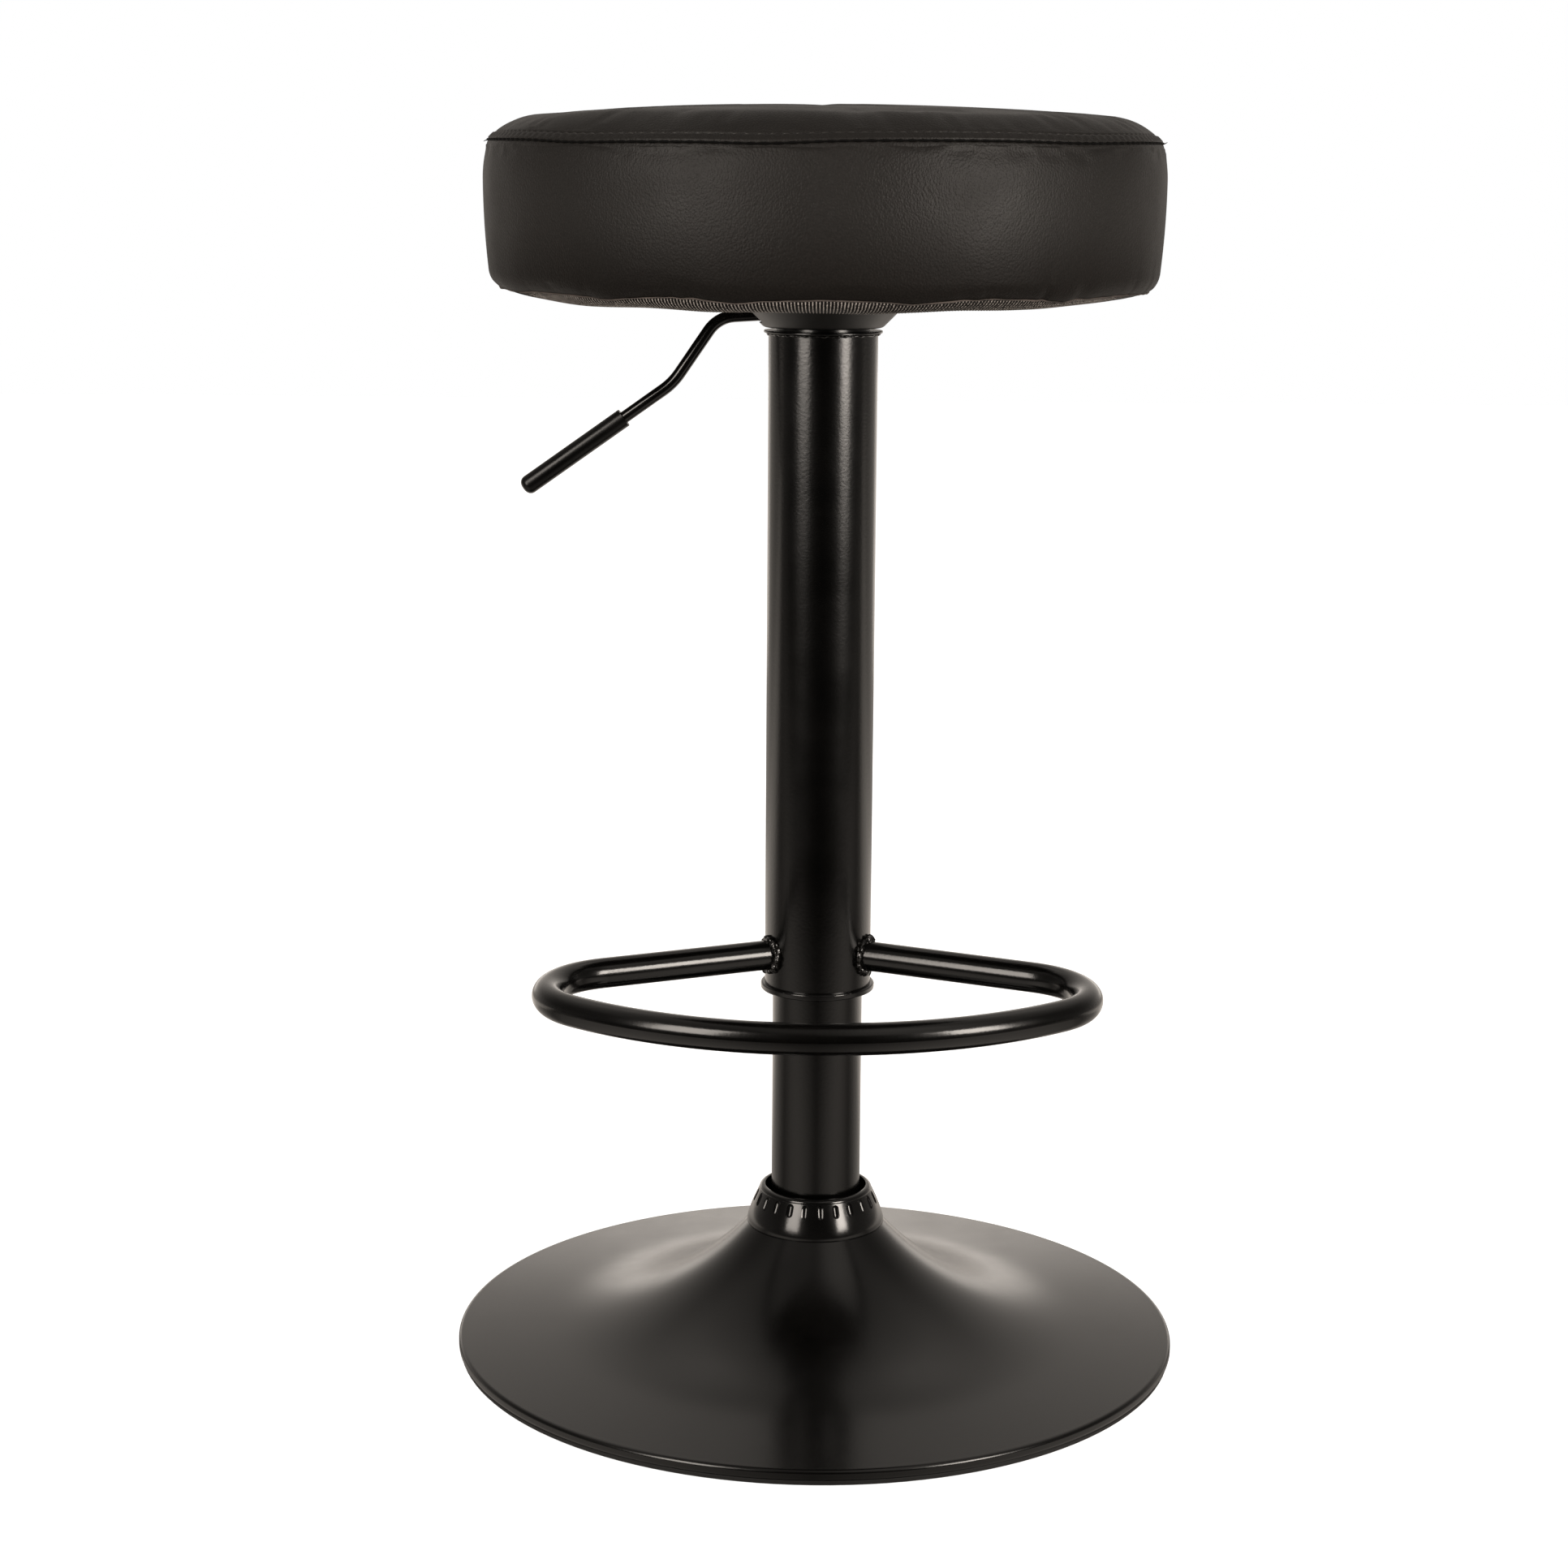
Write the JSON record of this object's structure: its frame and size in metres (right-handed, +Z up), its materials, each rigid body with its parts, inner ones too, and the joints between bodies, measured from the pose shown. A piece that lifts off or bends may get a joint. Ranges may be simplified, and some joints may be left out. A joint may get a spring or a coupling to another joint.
{
  "type": "bar stool with footrest",
  "caption": "Round upholstered bar stool on a gas-lift column with a trumpet base, a footrest loop and a bent release lever under the seat.",
  "frame": {"origin": "on the floor at the column's axis", "axes": "+Z up the column, -Y towards the footrest, -X towards the release lever"},
  "size_m": [0.406, 0.406, 0.6916],
  "materials": {
    "base_coat": "satin",
    "column_coat": "satin",
    "footrest_coat": "satin",
    "plate_coat": "matte",
    "lever_coat": "gloss",
    "plain_steel": "satin",
    "cylinder_coat": "satin",
    "black_plastic": "gloss",
    "guide_plastic": "satin",
    "black_rubber": "matte",
    "plywood": "matte",
    "foam": "matte",
    "leatherette": "satin",
    "woven_lining": "matte"
  },
  "bodies": {
    "base": {"base_shell": "base_coat", "base_plate": "base_coat", "hub_sleeve": "base_coat", "floor_ring": "black_rubber", "lower_column": "column_coat", "column_foot": "plain_steel", "column_guide": "guide_plastic", "bearing_lower_race": "plain_steel", "bearing_balls": "plain_steel", "bearing_cage": "guide_plastic", "base_collar": "black_plastic"},
    "rod": {"piston_rod": "plain_steel", "rod_bumper": "black_rubber", "piston": "plain_steel", "piston_seal": "black_rubber", "bearing_upper_race": "plain_steel", "rod_washer": "plain_steel", "rod_clip": "plain_steel"},
    "seat_post": {"gas_cylinder": "cylinder_coat", "cylinder_gland": "cylinder_coat", "taper_socket": "column_coat", "tube_cap": "column_coat", "upper_tube": "column_coat", "tube_bush": "guide_plastic", "footrest": "footrest_coat", "footrest_welds": "footrest_coat", "seat_plate": "plate_coat", "lever_bracket": "plate_coat", "lever_pin": "plain_steel", "seat_board": "plywood", "tee_nuts": "plain_steel", "seat_bolts": "plain_steel", "bolt_washers": "plain_steel", "seat_foam": "foam", "cover_top": "leatherette", "cover_side": "leatherette", "dust_cover": "woven_lining"},
    "lever": {"lever_rod": "lever_coat", "lever_grip": "black_plastic"},
    "valve_button": {"valve_button": "guide_plastic"}
  },
  "joints": [
    {"name": "seat_swivel", "type": "hinge", "parent": "base", "child": "rod", "pos_m": [0, 0, 0.02], "axis": [0, 0, 1], "continuous": true},
    {"name": "seat_lift", "type": "slide", "parent": "rod", "child": "seat_post", "axis": [0, 0, 1], "range_m": [-0.108, 0.102]},
    {"name": "lever_pull", "type": "hinge", "parent": "seat_post", "child": "lever", "pos_m": [-0.027, 0, 0.58143], "axis": [0, 1, 0], "range_deg": [0, 6], "stiffness_Nm_per_rad": 8, "springref_deg": -2.86},
    {"name": "button_press", "type": "slide", "parent": "seat_post", "child": "valve_button", "axis": [0, 0, -1], "range_m": [0, 0.0032]}
  ],
  "couplings": [
    {"joint": "button_press", "follows": "lever_pull", "m_per_rad": 0.03}
  ]
}
